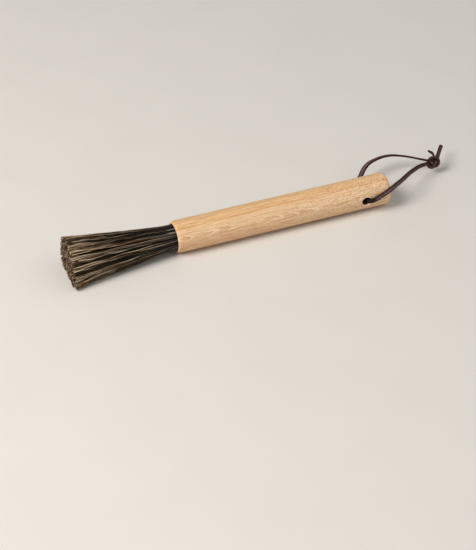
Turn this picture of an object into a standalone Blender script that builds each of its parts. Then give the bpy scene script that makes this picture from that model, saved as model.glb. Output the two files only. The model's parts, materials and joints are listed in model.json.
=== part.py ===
"""Coffee grinder brush: turned oak handle, flared bristle bundle and tied leather lace.

Metres, +Z up. The brush lies on its side on the plane Z = 0, with the handle along X and the
strap end at +X. The origin is on that plane, under the middle of the handle and tuft together.
"""

import math

import bmesh
import bpy
from mathutils import Vector

# Handle
HANDLE_LENGTH = 0.141
HANDLE_DIAMETER = 0.020
HANDLE_SIDES = 64
STRAP_END_ROUND = 0.0022
BRISTLE_END_ROUND_LENGTH = 0.0022
BRISTLE_END_ROUND_DEPTH = 0.0012
ROUND_STEPS = 4

# Bore that holds the bundle
BORE_WALL = 0.0016
BORE_DEPTH = 0.018

# Cross hole for the lace
CROSS_HOLE_DIAMETER = 0.0054
CROSS_HOLE_SETBACK = 0.017
CROSS_HOLE_SIDES = 32
MOUTH_FLARE = 0.0010
MOUTH_FLARE_DEPTH = 0.0016

# Bristle bundle
TUFT_LENGTH = 0.0695
TUFT_TIP_DIAMETER = 0.0330
TUFT_FLARE_POWER = 1.2
TUFT_DRIFT = 0.0008
CUT_SLANT = 0.0018
STRAND_COUNT = 320
STRAND_RADIUS = 0.00026
STRAND_FLATTENING_POWER = 20
STRAND_MIDDLE_SHARE = 0.5
STRAND_SHORTER_SHARE = 0.015
STRAND_TIP_RADIUS_SHARE = 1.35
STRAND_SWAY = 0.00015
ROOT_EDGE_MARGIN = 0.0005
ROOT_RECESS = 0.0010
ROOT_OVERLAP = 0.0010
PRESSED_SPREAD_SHARE = 0.33
PRESSED_SPREAD_POWER = 3

# Glue and binding inside the bore
GLUE_THICKNESS = 0.0025
BINDING_THICKNESS = 0.0007
BINDING_LENGTH = 0.0044
BINDING_SETBACK = 0.0020

# Lace
LACE_WIDTH = 0.0031
LACE_THICKNESS = 0.0012
LACE_POINT_SPACING = 0.0030
ROUTE_STEPS = 24
LACE_END_RUN = 0.0005

# Knot
KNOT_DIAMETER = 0.0084
KNOT_CORE_SHARES = (0.62, 0.62, 0.42)
KNOT_CORE_SIDES = 16
KNOT_CORE_RINGS = 10
KNOT_CORD_SHARE = 0.105
KNOT_CURVE_POINTS = 36
KNOT_STUB_LENGTH = 0.0030
KNOT_PLACE = (0.0593, 0.0164, -0.0016)
KNOT_TURN_DEG = (53.0, 0.0, -22.0)

# Clearances
SEAT_GAP = 0.0003
CUT_OVERRUN = 0.0010
WELD_DISTANCE = 0.000002

# Places that follow from the sizes
HANDLE_RADIUS = HANDLE_DIAMETER / 2
AXIS_HEIGHT = HANDLE_RADIUS * math.cos(math.pi / HANDLE_SIDES)
STRAP_END_X = (HANDLE_LENGTH + TUFT_LENGTH) / 2
BRISTLE_END_X = STRAP_END_X - HANDLE_LENGTH
HOLE_PLACE = Vector((STRAP_END_X - CROSS_HOLE_SETBACK, 0, AXIS_HEIGHT))
BORE_RADIUS = HANDLE_RADIUS - BORE_WALL
ROOT_RADIUS = BORE_RADIUS - SEAT_GAP

# Lace route: along the handle to the strap end, away from the viewer and up, all measured from
# the middle of the cross hole, then the lean of the lace's width from upright to its right.
# The strands and tails start inside the knot, which keeps the first stretch of each.
FAR_ROUTE = (
    (0.0582, 0.0168, -0.0009, -46),
    (0.0552, 0.0180, -0.0004, -48),
    (0.0519, 0.0206, -0.0002, -52),
    (0.0468, 0.0245, 0.0002, -57),
    (0.0413, 0.0278, 0.0006, -61),
    (0.0352, 0.0299, 0.0011, -67),
    (0.0279, 0.0294, 0.0017, -71),
    (0.0198, 0.0272, 0.0015, -78),
    (0.0149, 0.0241, 0.0012, -84),
    (0.0110, 0.0202, 0.0008, -90),
    (0.0077, 0.0162, 0.0004, -90),
    (0.0046, 0.0134, 0.0002, -90),
)
HOLE_ROUTE = (
    (0.0046, 0.0134, 0.0002, -90),
    (0.0020, 0.0112, 0.0001, -88),
    (0.0004, 0.0085, 0.0000, -84),
    (0.0000, 0.0045, 0.0000, -68),
    (0.0000, 0.0000, 0.0000, -45),
    (0.0003, -0.0045, 0.0000, -20),
    (0.0010, -0.0084, 0.0001, -6),
    (0.0019, -0.0103, 0.0004, -2),
    (0.0034, -0.0114, 0.0010, 0),
)
NEAR_ROUTE = (
    (0.0034, -0.0114, 0.0010, 0),
    (0.0053, -0.0121, 0.0020, -8),
    (0.0080, -0.0123, 0.0034, -17),
    (0.0116, -0.0119, 0.0048, -25),
    (0.0154, -0.0109, 0.0058, -27),
    (0.0204, -0.0077, 0.0056, -22),
    (0.0257, -0.0037, 0.0046, -17),
    (0.0320, 0.0017, 0.0031, -16),
    (0.0381, 0.0069, 0.0017, -10),
    (0.0434, 0.0106, 0.0007, -4),
    (0.0483, 0.0134, -0.0001, 6),
    (0.0527, 0.0150, -0.0009, 17),
    (0.0552, 0.0157, -0.0014, 23),
    (0.0580, 0.0160, -0.0018, 26),
)
LONG_TAIL_ROUTE = (
    (0.0606, 0.0160, -0.0012, -40),
    (0.0631, 0.0190, -0.0008, -36),
    (0.0664, 0.0236, -0.0012, -32),
    (0.0701, 0.0287, -0.0017, -30),
    (0.0735, 0.0332, -0.0022, -30),
)
SHORT_TAIL_ROUTE = (
    (0.0606, 0.0182, 0.0005, -20),
    (0.0610, 0.0210, 0.0011, -22),
    (0.0608, 0.0228, 0.0011, -30),
    (0.0602, 0.0250, 0.0009, -42),
)


# Scene helpers


def clear_scene():
    for old in list(bpy.data.objects):
        bpy.data.objects.remove(old)


def new_collection(name):
    made = bpy.data.collections.new(name)
    bpy.context.scene.collection.children.link(made)
    return made


def make_material(name, colour, roughness, metallic=0.0):
    made = bpy.data.materials.new(name)
    made.use_nodes = True
    shader = made.node_tree.nodes["Principled BSDF"]
    shader.inputs["Base Color"].default_value = (*colour, 1)
    shader.inputs["Roughness"].default_value = roughness
    shader.inputs["Metallic"].default_value = metallic
    made.diffuse_color = (*colour, 1)
    return made


def add_object(name, data, collection, material=None):
    made = bpy.data.objects.new(name, data)
    collection.objects.link(made)
    if material:
        data.materials.append(material)
    return made


def hide_as_cutter(helper):
    helper.hide_render = True
    helper.display_type = "WIRE"


def add_boolean(piece, other, operation):
    cut = piece.modifiers.new(operation.lower(), "BOOLEAN")
    cut.operation = operation
    cut.solver = "EXACT"
    cut.object = other


# Shape helpers


def quarter_round(start, end, radius_first):
    """A quarter ellipse between two (radius, height) points, which leaves the first one squarely."""
    points = []
    for step in range(ROUND_STEPS + 1):
        angle = math.pi / 2 * step / ROUND_STEPS
        early, late = math.sin(angle), 1 - math.cos(angle)
        radius_share, height_share = (early, late) if radius_first else (late, early)
        radius = start[0] + (end[0] - start[0]) * radius_share
        height = start[1] + (end[1] - start[1]) * height_share
        points.append((radius, height))
    return points


def turned(name, profile, sides, collection, material=None):
    """A turned solid about local Z from (radius, height) points, a flat side facing local X."""
    mesh = bpy.data.meshes.new(name)
    turn = math.pi / sides
    points = [(r * math.cos(turn), r * math.sin(turn), z) for r, z in profile]
    edges = [(i, i + 1) for i in range(len(points) - 1)]
    mesh.from_pydata(points, edges, [])
    made = add_object(name, mesh, collection, material)
    screw = made.modifiers.new("turn", "SCREW")
    screw.axis = "Z"
    screw.angle = math.tau
    screw.steps = sides
    screw.render_steps = sides
    screw.use_merge_vertices = True
    screw.merge_threshold = WELD_DISTANCE
    screw.use_smooth_shade = True
    return made


def catmull_point(points, index, share):
    """A point of the smooth curve through the route, between two neighbouring route points."""
    last = len(points) - 1
    p0, p1, p2, p3 = (points[min(max(index + k, 0), last)] for k in (-1, 0, 1, 2))
    result = []
    for a, b, c, d in zip(p0, p1, p2, p3):
        bend = (2 * a - 5 * b + 4 * c - d) * share**2 + (3 * b - a - 3 * c + d) * share**3
        result.append(b + ((c - a) * share + bend) / 2)
    return result


def smooth_route(route):
    """The route as many close points, with the distance run at each of them."""
    fine = []
    for index in range(len(route) - 1):
        fine += [catmull_point(route, index, step / ROUTE_STEPS) for step in range(ROUTE_STEPS)]
    fine.append(list(route[-1]))
    runs = [0.0]
    for before, after in zip(fine, fine[1:]):
        runs.append(runs[-1] + math.dist(before[:3], after[:3]))
    return fine, runs


def route_point(fine, runs, wanted):
    """The route's point and lean at a distance along it."""
    at = 0
    while at < len(runs) - 2 and runs[at + 1] < wanted:
        at += 1
    share = (wanted - runs[at]) / (runs[at + 1] - runs[at])
    return [a + (b - a) * share for a, b in zip(fine[at], fine[at + 1])]


def cut_route(fine, runs, start, end):
    """Points of the route between two distances, with a short square run at either end."""
    first, last = start + LACE_END_RUN, end - LACE_END_RUN
    count = max(1, round((last - first) / LACE_POINT_SPACING))
    wanted = [start] + [first + (last - first) * k / count for k in range(count + 1)] + [end]
    return [route_point(fine, runs, distance) for distance in wanted]


def flat_lace(name, points, collection, material):
    """A flat strip along the points, each given by its place and the lean of its width."""
    curve = bpy.data.curves.new(name, "CURVE")
    curve.dimensions = "3D"
    curve.twist_mode = "Z_UP"
    curve.fill_mode = "FULL"
    curve.extrude = (LACE_WIDTH - LACE_THICKNESS) / 2
    curve.bevel_depth = LACE_THICKNESS / 2
    curve.bevel_resolution = 1
    curve.use_fill_caps = True
    spline = curve.splines.new("POLY")
    spline.points.add(len(points) - 1)
    for knot, (x, y, z, lean) in zip(spline.points, points):
        knot.co = (x, y, z, 1)
        knot.tilt = math.radians(lean)
    return add_object(name, curve, collection, material)


def as_solid(curve_object, cutters):
    """A mesh helper in place of the curve object, with its end caps welded on."""
    bpy.context.view_layer.update()
    evaluated = curve_object.evaluated_get(bpy.context.evaluated_depsgraph_get())
    mesh = bpy.data.meshes.new_from_object(evaluated)
    shell = bmesh.new()
    shell.from_mesh(mesh)
    bmesh.ops.remove_doubles(shell, verts=shell.verts, dist=WELD_DISTANCE)
    shell.to_mesh(mesh)
    shell.free()
    solid = add_object(curve_object.name + "_solid", mesh, cutters)
    solid.matrix_world = curve_object.matrix_world.copy()
    bpy.data.objects.remove(curve_object)
    hide_as_cutter(solid)
    return solid


# Handle


def make_handle(parts, cutters, material):
    top = HANDLE_LENGTH
    radius = HANDLE_RADIUS
    lip = radius - BRISTLE_END_ROUND_DEPTH
    profile = [(0, top)]
    strap_round_start = (radius - STRAP_END_ROUND, top)
    profile += quarter_round(strap_round_start, (radius, top - STRAP_END_ROUND), True)
    bristle_round_start = (radius, BRISTLE_END_ROUND_LENGTH)
    profile += quarter_round(bristle_round_start, (lip, 0), False)
    profile += [(BORE_RADIUS, 0), (BORE_RADIUS, BORE_DEPTH), (0, BORE_DEPTH)]
    handle = turned("handle", profile, HANDLE_SIDES, parts, material)
    handle.location = (BRISTLE_END_X, 0, AXIS_HEIGHT)
    handle.rotation_euler = (0, math.pi / 2, 0)
    add_boolean(handle, make_cross_hole_cutter(cutters), "DIFFERENCE")
    return handle


def make_cross_hole_cutter(cutters):
    """The cross hole's space: straight in the middle, flaring out to both mouths."""
    hole = CROSS_HOLE_DIAMETER / 2
    mouth = HANDLE_RADIUS
    wide = hole + MOUTH_FLARE
    flare = quarter_round((wide, mouth), (hole, mouth - MOUTH_FLARE_DEPTH), True)
    profile = [(0, mouth + CUT_OVERRUN), (wide, mouth + CUT_OVERRUN)]
    profile += flare
    profile += [(r, -z) for r, z in reversed(profile)]
    cutter = turned("cross_hole_cutter", profile, CROSS_HOLE_SIDES, cutters)
    cutter.location = HOLE_PLACE
    cutter.rotation_euler = (math.pi / 2, 0, 0)
    hide_as_cutter(cutter)
    return cutter


# Bristles, binding and glue


def tuft_reach(distance, downward):
    """How far the tuft reaches from the axis there, where the table flattens its underside."""
    tip = TUFT_TIP_DIAMETER / 2
    edge = ROOT_RADIUS - ROOT_EDGE_MARGIN
    run_share = max(distance, 0) / TUFT_LENGTH
    open_reach = edge + (tip - edge) * run_share**TUFT_FLARE_POWER
    if downward <= 0:
        return open_reach
    open_reach *= 1 + PRESSED_SPREAD_SHARE * downward * run_share**PRESSED_SPREAD_POWER
    table = (AXIS_HEIGHT - STRAND_RADIUS * STRAND_TIP_RADIUS_SHARE) / downward
    power = STRAND_FLATTENING_POWER
    return (open_reach**-power + table**-power) ** (-1 / power)


def strand_route(number):
    """Root, face, middle and tip of one strand, laid out as seeds in a sunflower head."""
    golden_angle = math.pi * (3 - math.sqrt(5))
    golden_share = (math.sqrt(5) - 1) / 2
    angle = number * golden_angle
    share = math.sqrt((number + 0.5) / STRAND_COUNT)
    far_side_share = (1 + share * math.cos(angle)) / 2
    length = TUFT_LENGTH * (1 - STRAND_SHORTER_SHARE * (number * golden_share % 1))
    length -= CUT_SLANT * far_side_share
    face = -ROOT_RECESS
    middle = length * STRAND_MIDDLE_SHARE
    sway = STRAND_SWAY * math.sin(number)
    points = []
    for distance, aside in ((face - ROOT_OVERLAP, 0), (face, 0), (middle, sway), (length, 0)):
        reach = share * tuft_reach(distance, -math.sin(angle))
        drift = TUFT_DRIFT * (distance / TUFT_LENGTH) ** 2
        side = reach * math.cos(angle) - aside * math.sin(angle) - drift
        up = reach * math.sin(angle) + abs(aside) * abs(math.cos(angle))
        points.append((BRISTLE_END_X - distance, side, AXIS_HEIGHT + up))
    return points


def make_strands(cutters):
    curve = bpy.data.curves.new("strands", "CURVE")
    curve.dimensions = "3D"
    curve.fill_mode = "FULL"
    curve.bevel_depth = STRAND_RADIUS
    curve.bevel_resolution = 0
    curve.use_fill_caps = True
    for number in range(STRAND_COUNT):
        route = strand_route(number)
        spline = curve.splines.new("POLY")
        spline.points.add(len(route) - 1)
        for knot, place in zip(spline.points, route):
            knot.co = (*place, 1)
            knot.radius = 1
        spline.points[-1].radius = STRAND_TIP_RADIUS_SHARE
        spline.points[-2].radius = STRAND_TIP_RADIUS_SHARE
    return as_solid(add_object("strands", curve, cutters), cutters)


def make_bristles(parts, cutters, material):
    """The packed root of the bundle, waisted for its binding, with the strands fused to it."""
    deep = BORE_DEPTH - GLUE_THICKNESS - 2 * SEAT_GAP
    waist_deep = deep - BINDING_SETBACK
    waist_top = waist_deep - BINDING_LENGTH - 2 * SEAT_GAP
    waist = ROOT_RADIUS - BINDING_THICKNESS - SEAT_GAP
    profile = [(0, deep), (ROOT_RADIUS, deep), (ROOT_RADIUS, waist_deep), (waist, waist_deep)]
    profile += [(waist, waist_top), (ROOT_RADIUS, waist_top), (ROOT_RADIUS, ROOT_RECESS)]
    profile += [(0, ROOT_RECESS)]
    root = turned("bristles", profile, CROSS_HOLE_SIDES, parts, material)
    root.location = (BRISTLE_END_X, 0, AXIS_HEIGHT)
    root.rotation_euler = (0, math.pi / 2, 0)
    add_boolean(root, make_strands(cutters), "UNION")
    return root


def make_binding_thread(parts, material):
    deep = BORE_DEPTH - GLUE_THICKNESS - 3 * SEAT_GAP - BINDING_SETBACK
    inner = ROOT_RADIUS - BINDING_THICKNESS
    profile = [(inner, deep), (ROOT_RADIUS, deep)]
    profile += [(ROOT_RADIUS, deep - BINDING_LENGTH), (inner, deep - BINDING_LENGTH)]
    profile += [(inner, deep)]
    thread = turned("binding_thread", profile, HANDLE_SIDES, parts, material)
    thread.location = (BRISTLE_END_X, 0, AXIS_HEIGHT)
    thread.rotation_euler = (0, math.pi / 2, 0)
    return thread


def make_glue_bed(parts, material):
    bottom = BORE_DEPTH - SEAT_GAP
    profile = [(0, bottom), (ROOT_RADIUS, bottom)]
    profile += [(ROOT_RADIUS, bottom - GLUE_THICKNESS), (0, bottom - GLUE_THICKNESS)]
    glue = turned("glue_bed", profile, HANDLE_SIDES, parts, material)
    glue.location = (BRISTLE_END_X, 0, AXIS_HEIGHT)
    glue.rotation_euler = (0, math.pi / 2, 0)
    return glue


# Lace


def make_lace(parts, material, swing):
    """The lace as one smooth route from the knot, through the cross hole and back to the knot."""
    route = FAR_ROUTE + HOLE_ROUTE[1:] + NEAR_ROUTE[1:]
    fine, runs = smooth_route(route)
    far_lip = runs[(len(FAR_ROUTE) - 1) * ROUTE_STEPS]
    near_lip = runs[(len(FAR_ROUTE) + len(HOLE_ROUTE) - 2) * ROUTE_STEPS]
    half_gap = SEAT_GAP / 2
    knot_entry = KNOT_STUB_LENGTH + half_gap
    add_stretch("lace_far_strand", fine, runs, knot_entry, far_lip - half_gap, parts, material, swing)
    add_stretch(
        "lace_through_hole", fine, runs, far_lip + half_gap, near_lip - half_gap, parts, material, swing
    )
    near_end = runs[-1] - knot_entry
    add_stretch("lace_near_strand", fine, runs, near_lip + half_gap, near_end, parts, material, swing)
    for name, tail in (("lace_long_tail", LONG_TAIL_ROUTE), ("lace_short_tail", SHORT_TAIL_ROUTE)):
        fine, runs = smooth_route(tail)
        add_stretch(name, fine, runs, knot_entry, runs[-1], parts, material, swing)


def add_stretch(name, fine, runs, start, end, parts, material, swing):
    points = cut_route(fine, runs, start, end)
    flat_lace(name, points, parts, material).parent = swing
    print(f"{name}: {(end - start) * 1000:.1f} mm")


def knot_cord(cutters):
    """The overhand knot's cord as a closed trefoil, tied flat in its own XY plane."""
    curve = bpy.data.curves.new("knot_cord", "CURVE")
    curve.dimensions = "3D"
    curve.fill_mode = "FULL"
    curve.bevel_depth = KNOT_DIAMETER * KNOT_CORD_SHARE
    curve.bevel_resolution = 2
    spline = curve.splines.new("POLY")
    spline.points.add(KNOT_CURVE_POINTS - 1)
    spline.use_cyclic_u = True
    trefoil_width = 6
    unit = KNOT_DIAMETER * (1 - 2 * KNOT_CORD_SHARE) / trefoil_width
    for number, knot in enumerate(spline.points):
        turn = math.tau * number / KNOT_CURVE_POINTS
        x = math.sin(turn) + 2 * math.sin(2 * turn)
        y = math.cos(turn) - 2 * math.cos(2 * turn)
        knot.co = (x * unit, y * unit, -math.sin(3 * turn) * unit, 1)
    return as_solid(add_object("knot_cord", curve, cutters), cutters)


def knot_stub(name, route, from_end, cutters, material):
    """The stretch of the lace inside the knot, whose flat end meets the stretch outside it."""
    fine, runs = smooth_route(route)
    length = KNOT_STUB_LENGTH - SEAT_GAP / 2
    start = runs[-1] - length if from_end else 0.0
    points = cut_route(fine, runs, start, start + length)
    return as_solid(flat_lace(name, points, cutters, material), cutters)


def make_knot(parts, cutters, material, swing):
    bpy.ops.mesh.primitive_uv_sphere_add(
        segments=KNOT_CORE_SIDES, ring_count=KNOT_CORE_RINGS, radius=KNOT_DIAMETER / 2
    )
    knot = bpy.context.object
    knot.name = "lace_knot"
    knot.data.name = "lace_knot"
    knot.users_collection[0].objects.unlink(knot)
    parts.objects.link(knot)
    knot.data.materials.append(material)
    for vertex in knot.data.vertices:
        for axis, share in enumerate(KNOT_CORE_SHARES):
            vertex.co[axis] *= share
    cord = knot_cord(cutters)
    for piece in (knot, cord):
        piece.location = KNOT_PLACE
        piece.rotation_euler = [math.radians(angle) for angle in KNOT_TURN_DEG]
    helpers = [
        cord,
        knot_stub("far_stub", FAR_ROUTE, False, cutters, material),
        knot_stub("near_stub", NEAR_ROUTE, True, cutters, material),
        knot_stub("long_tail_stub", LONG_TAIL_ROUTE, False, cutters, material),
        knot_stub("short_tail_stub", SHORT_TAIL_ROUTE, False, cutters, material),
    ]
    for helper in helpers:
        helper.parent = swing
        add_boolean(knot, helper, "UNION")
    knot.parent = swing
    return knot


def make_brush():
    clear_scene()
    parts = new_collection("coffee_grinder_brush")
    cutters = new_collection("cutters")
    oak = make_material("oiled_oak", (0.68, 0.45, 0.26), 0.55)
    bristle = make_material("dark_bristle", (0.045, 0.035, 0.028), 0.6)
    leather = make_material("brown_leather", (0.055, 0.032, 0.027), 0.5)
    thread = make_material("binding_thread", (0.45, 0.38, 0.27), 0.8)
    glue = make_material("set_glue", (0.32, 0.19, 0.08), 0.35)
    make_handle(parts, cutters, oak)
    make_bristles(parts, cutters, bristle)
    make_binding_thread(parts, thread)
    make_glue_bed(parts, glue)
    swing = bpy.data.objects.new("loop_swing", None)
    swing.location = HOLE_PLACE
    parts.objects.link(swing)
    make_lace(parts, leather, swing)
    make_knot(parts, cutters, leather, swing)


make_brush()
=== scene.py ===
"""Coffee grinder brush: oiled oak handle, dark bristle bundle and tied brown leather lace."""

import json
import math
import random
from types import SimpleNamespace

import bpy
from mathutils import Matrix, Vector, noise
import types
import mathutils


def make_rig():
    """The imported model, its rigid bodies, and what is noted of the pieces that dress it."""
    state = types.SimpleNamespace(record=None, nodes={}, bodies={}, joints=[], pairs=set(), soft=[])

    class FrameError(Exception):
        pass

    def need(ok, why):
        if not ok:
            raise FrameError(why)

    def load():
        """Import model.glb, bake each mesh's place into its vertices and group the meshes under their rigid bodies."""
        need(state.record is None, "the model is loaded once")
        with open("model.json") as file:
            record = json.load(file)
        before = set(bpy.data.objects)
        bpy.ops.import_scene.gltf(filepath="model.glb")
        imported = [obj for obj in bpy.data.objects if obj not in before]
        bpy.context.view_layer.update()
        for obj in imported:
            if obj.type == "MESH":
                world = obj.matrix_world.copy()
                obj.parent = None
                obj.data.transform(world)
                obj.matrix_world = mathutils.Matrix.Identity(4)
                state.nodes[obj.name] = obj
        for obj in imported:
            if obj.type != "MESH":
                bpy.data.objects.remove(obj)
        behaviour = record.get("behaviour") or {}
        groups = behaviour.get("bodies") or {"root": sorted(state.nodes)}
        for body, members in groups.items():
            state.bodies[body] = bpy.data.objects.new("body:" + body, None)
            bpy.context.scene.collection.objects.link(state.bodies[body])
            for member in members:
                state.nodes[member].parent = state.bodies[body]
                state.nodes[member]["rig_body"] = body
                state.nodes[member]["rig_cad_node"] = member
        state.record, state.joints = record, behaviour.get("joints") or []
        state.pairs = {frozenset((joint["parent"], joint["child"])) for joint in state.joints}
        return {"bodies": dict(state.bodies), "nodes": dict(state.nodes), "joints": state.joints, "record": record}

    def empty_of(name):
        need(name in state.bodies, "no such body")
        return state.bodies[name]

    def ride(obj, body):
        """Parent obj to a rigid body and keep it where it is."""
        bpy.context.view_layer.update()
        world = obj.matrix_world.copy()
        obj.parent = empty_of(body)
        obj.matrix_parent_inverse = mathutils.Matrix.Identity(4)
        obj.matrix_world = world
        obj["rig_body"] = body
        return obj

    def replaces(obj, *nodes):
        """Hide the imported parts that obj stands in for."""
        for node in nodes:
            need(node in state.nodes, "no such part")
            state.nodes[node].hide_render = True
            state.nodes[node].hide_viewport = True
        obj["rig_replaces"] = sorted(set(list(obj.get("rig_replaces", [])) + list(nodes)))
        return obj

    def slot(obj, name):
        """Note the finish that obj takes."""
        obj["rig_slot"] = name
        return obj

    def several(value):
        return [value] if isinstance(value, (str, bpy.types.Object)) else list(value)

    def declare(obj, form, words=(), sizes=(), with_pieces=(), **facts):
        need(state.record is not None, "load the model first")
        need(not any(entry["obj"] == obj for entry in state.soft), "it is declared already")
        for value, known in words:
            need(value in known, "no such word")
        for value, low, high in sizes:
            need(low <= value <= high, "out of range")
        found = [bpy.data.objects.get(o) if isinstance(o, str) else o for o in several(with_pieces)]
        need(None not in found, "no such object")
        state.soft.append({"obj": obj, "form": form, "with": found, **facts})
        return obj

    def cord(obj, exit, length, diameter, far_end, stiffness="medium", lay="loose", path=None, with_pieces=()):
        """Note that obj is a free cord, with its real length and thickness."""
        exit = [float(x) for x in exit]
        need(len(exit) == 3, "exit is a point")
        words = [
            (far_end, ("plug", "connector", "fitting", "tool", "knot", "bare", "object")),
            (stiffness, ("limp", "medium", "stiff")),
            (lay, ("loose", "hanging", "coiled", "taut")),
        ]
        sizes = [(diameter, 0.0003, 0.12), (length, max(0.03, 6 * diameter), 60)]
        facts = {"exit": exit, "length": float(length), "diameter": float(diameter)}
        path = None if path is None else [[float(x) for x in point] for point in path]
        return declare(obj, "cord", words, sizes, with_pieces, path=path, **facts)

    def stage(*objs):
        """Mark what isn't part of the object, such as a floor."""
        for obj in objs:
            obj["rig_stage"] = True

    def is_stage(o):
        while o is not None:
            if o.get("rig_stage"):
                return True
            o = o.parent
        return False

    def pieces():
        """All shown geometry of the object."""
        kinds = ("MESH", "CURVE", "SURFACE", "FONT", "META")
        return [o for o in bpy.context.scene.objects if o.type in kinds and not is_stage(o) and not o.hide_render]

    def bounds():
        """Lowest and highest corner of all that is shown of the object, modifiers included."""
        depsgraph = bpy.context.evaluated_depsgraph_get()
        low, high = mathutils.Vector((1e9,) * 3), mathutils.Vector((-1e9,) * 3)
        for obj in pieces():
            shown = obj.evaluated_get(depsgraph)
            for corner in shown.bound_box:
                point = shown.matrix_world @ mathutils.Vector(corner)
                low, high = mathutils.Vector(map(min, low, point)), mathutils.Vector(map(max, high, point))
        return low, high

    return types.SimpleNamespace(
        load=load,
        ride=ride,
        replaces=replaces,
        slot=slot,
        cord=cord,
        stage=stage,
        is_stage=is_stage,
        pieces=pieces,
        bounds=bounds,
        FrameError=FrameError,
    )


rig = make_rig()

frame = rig.load()
CAD_BOX = [list(corner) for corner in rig.bounds()]

# Sizes in metres, in the part's frame: X runs along the handle to its strap end, Z is up
MM = 0.001
HANDLE_RADIUS = 0.010
# The CAD handle has 64 sides and lies on the flat of one; the turned one fits inside it
CAD_HANDLE_SIDES = 64
AXIS_HEIGHT = HANDLE_RADIUS * math.cos(math.pi / CAD_HANDLE_SIDES)
STRAP_END_X = 0.10525
STRAP_ROUNDING = 0.0022
BRISTLE_END_X = -0.03575
BRISTLE_ROUNDING = 0.0026
BRISTLE_LIP = 0.0014
BORE_RADIUS = 0.0084
BORE_DEPTH = 0.018
BORE_CHAMFER = 0.0001
HOLE = Vector((0.08825, 0, AXIS_HEIGHT))
HOLE_RADIUS = 0.0027
MOUTH_RADIUS = 0.0037
MOUTH_DEPTH = 0.0016
ROOT_RADIUS = 0.0081
ROOT_GAP = 0.0003
ROOT_DEPTH = 0.0146
TIE_RADIUS = 0.0069
TIE_RUN = 0.004
TUFT_LENGTH = 0.0695
TUFT_TIP_RADIUS = 0.0165
TUFT_TOP = 0.02618
TUFT_DRIFT = 0.0008
LACE_WIDTH = 0.0031
LACE_THICKNESS = 0.0012
LACE_SPACING = 0.0005
KNOT_CENTRE = HOLE + Vector((0.0593, 0.0164, -0.0016))
KNOT_STUB_LENGTH = 0.0030
SHARP_ANGLE = math.radians(50)

# Camera of the photograph
VIEW_AZIMUTH = math.radians(-22.17)
VIEW_ELEVATION = math.radians(36.92)
LENS_MM = 130.9
SENSOR_MM = 36
CAMERA_PLACE = Vector((-0.36880, -0.92037, 0.71646))
VIEW_BACK = Vector(
    (
        math.sin(VIEW_AZIMUTH) * math.cos(VIEW_ELEVATION),
        -math.cos(VIEW_AZIMUTH) * math.cos(VIEW_ELEVATION),
        math.sin(VIEW_ELEVATION),
    )
)
VIEW_RIGHT = Vector((math.cos(VIEW_AZIMUTH), math.sin(VIEW_AZIMUTH), 0))
VIEW_UP = VIEW_BACK.cross(VIEW_RIGHT)

# The lace's route, measured from the middle of the cross hole, with the lean of its width
FAR_ROUTE = (
    (0.0582, 0.0168, -0.0009, -46),
    (0.0552, 0.0180, -0.0004, -48),
    (0.0519, 0.0206, -0.0002, -52),
    (0.0468, 0.0245, 0.0002, -57),
    (0.0413, 0.0278, 0.0006, -61),
    (0.0352, 0.0299, 0.0011, -67),
    (0.0279, 0.0294, 0.0017, -71),
    (0.0198, 0.0272, 0.0015, -78),
    (0.0149, 0.0241, 0.0012, -84),
    (0.0110, 0.0202, 0.0008, -90),
    (0.0077, 0.0162, 0.0004, -90),
    (0.0046, 0.0134, 0.0002, -90),
)
HOLE_ROUTE = (
    (0.0046, 0.0134, 0.0002, -90),
    (0.0020, 0.0112, 0.0001, -88),
    (0.0004, 0.0085, 0.0000, -84),
    (0.0000, 0.0045, 0.0000, -68),
    (0.0000, 0.0000, 0.0000, -45),
    (0.0003, -0.0045, 0.0000, -20),
    (0.0010, -0.0084, 0.0001, -6),
    (0.0019, -0.0103, 0.0004, -2),
    (0.0034, -0.0114, 0.0010, 0),
)
NEAR_ROUTE = (
    (0.0034, -0.0114, 0.0010, 0),
    (0.0053, -0.0121, 0.0020, -8),
    (0.0080, -0.0123, 0.0034, -17),
    (0.0116, -0.0119, 0.0048, -25),
    (0.0154, -0.0109, 0.0058, -27),
    (0.0204, -0.0077, 0.0056, -22),
    (0.0257, -0.0037, 0.0046, -17),
    (0.0320, 0.0017, 0.0031, -16),
    (0.0381, 0.0069, 0.0017, -10),
    (0.0434, 0.0106, 0.0007, -4),
    (0.0483, 0.0134, -0.0001, 6),
    (0.0527, 0.0150, -0.0009, 17),
    (0.0552, 0.0157, -0.0014, 23),
    (0.0580, 0.0160, -0.0018, 26),
)
LONG_TAIL_ROUTE = (
    (0.0606, 0.0160, -0.0012, -40),
    (0.0631, 0.0190, -0.0008, -36),
    (0.0664, 0.0236, -0.0012, -32),
    (0.0701, 0.0287, -0.0017, -30),
    (0.0735, 0.0332, -0.0022, -30),
)
SHORT_TAIL_ROUTE = (
    (0.0606, 0.0182, 0.0005, -20),
    (0.0610, 0.0210, 0.0011, -22),
    (0.0608, 0.0228, 0.0011, -30),
    (0.0602, 0.0250, 0.0009, -42),
)
ROUTE_STEPS = 24
LONG_TAIL_SLANT = 0.85

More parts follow.
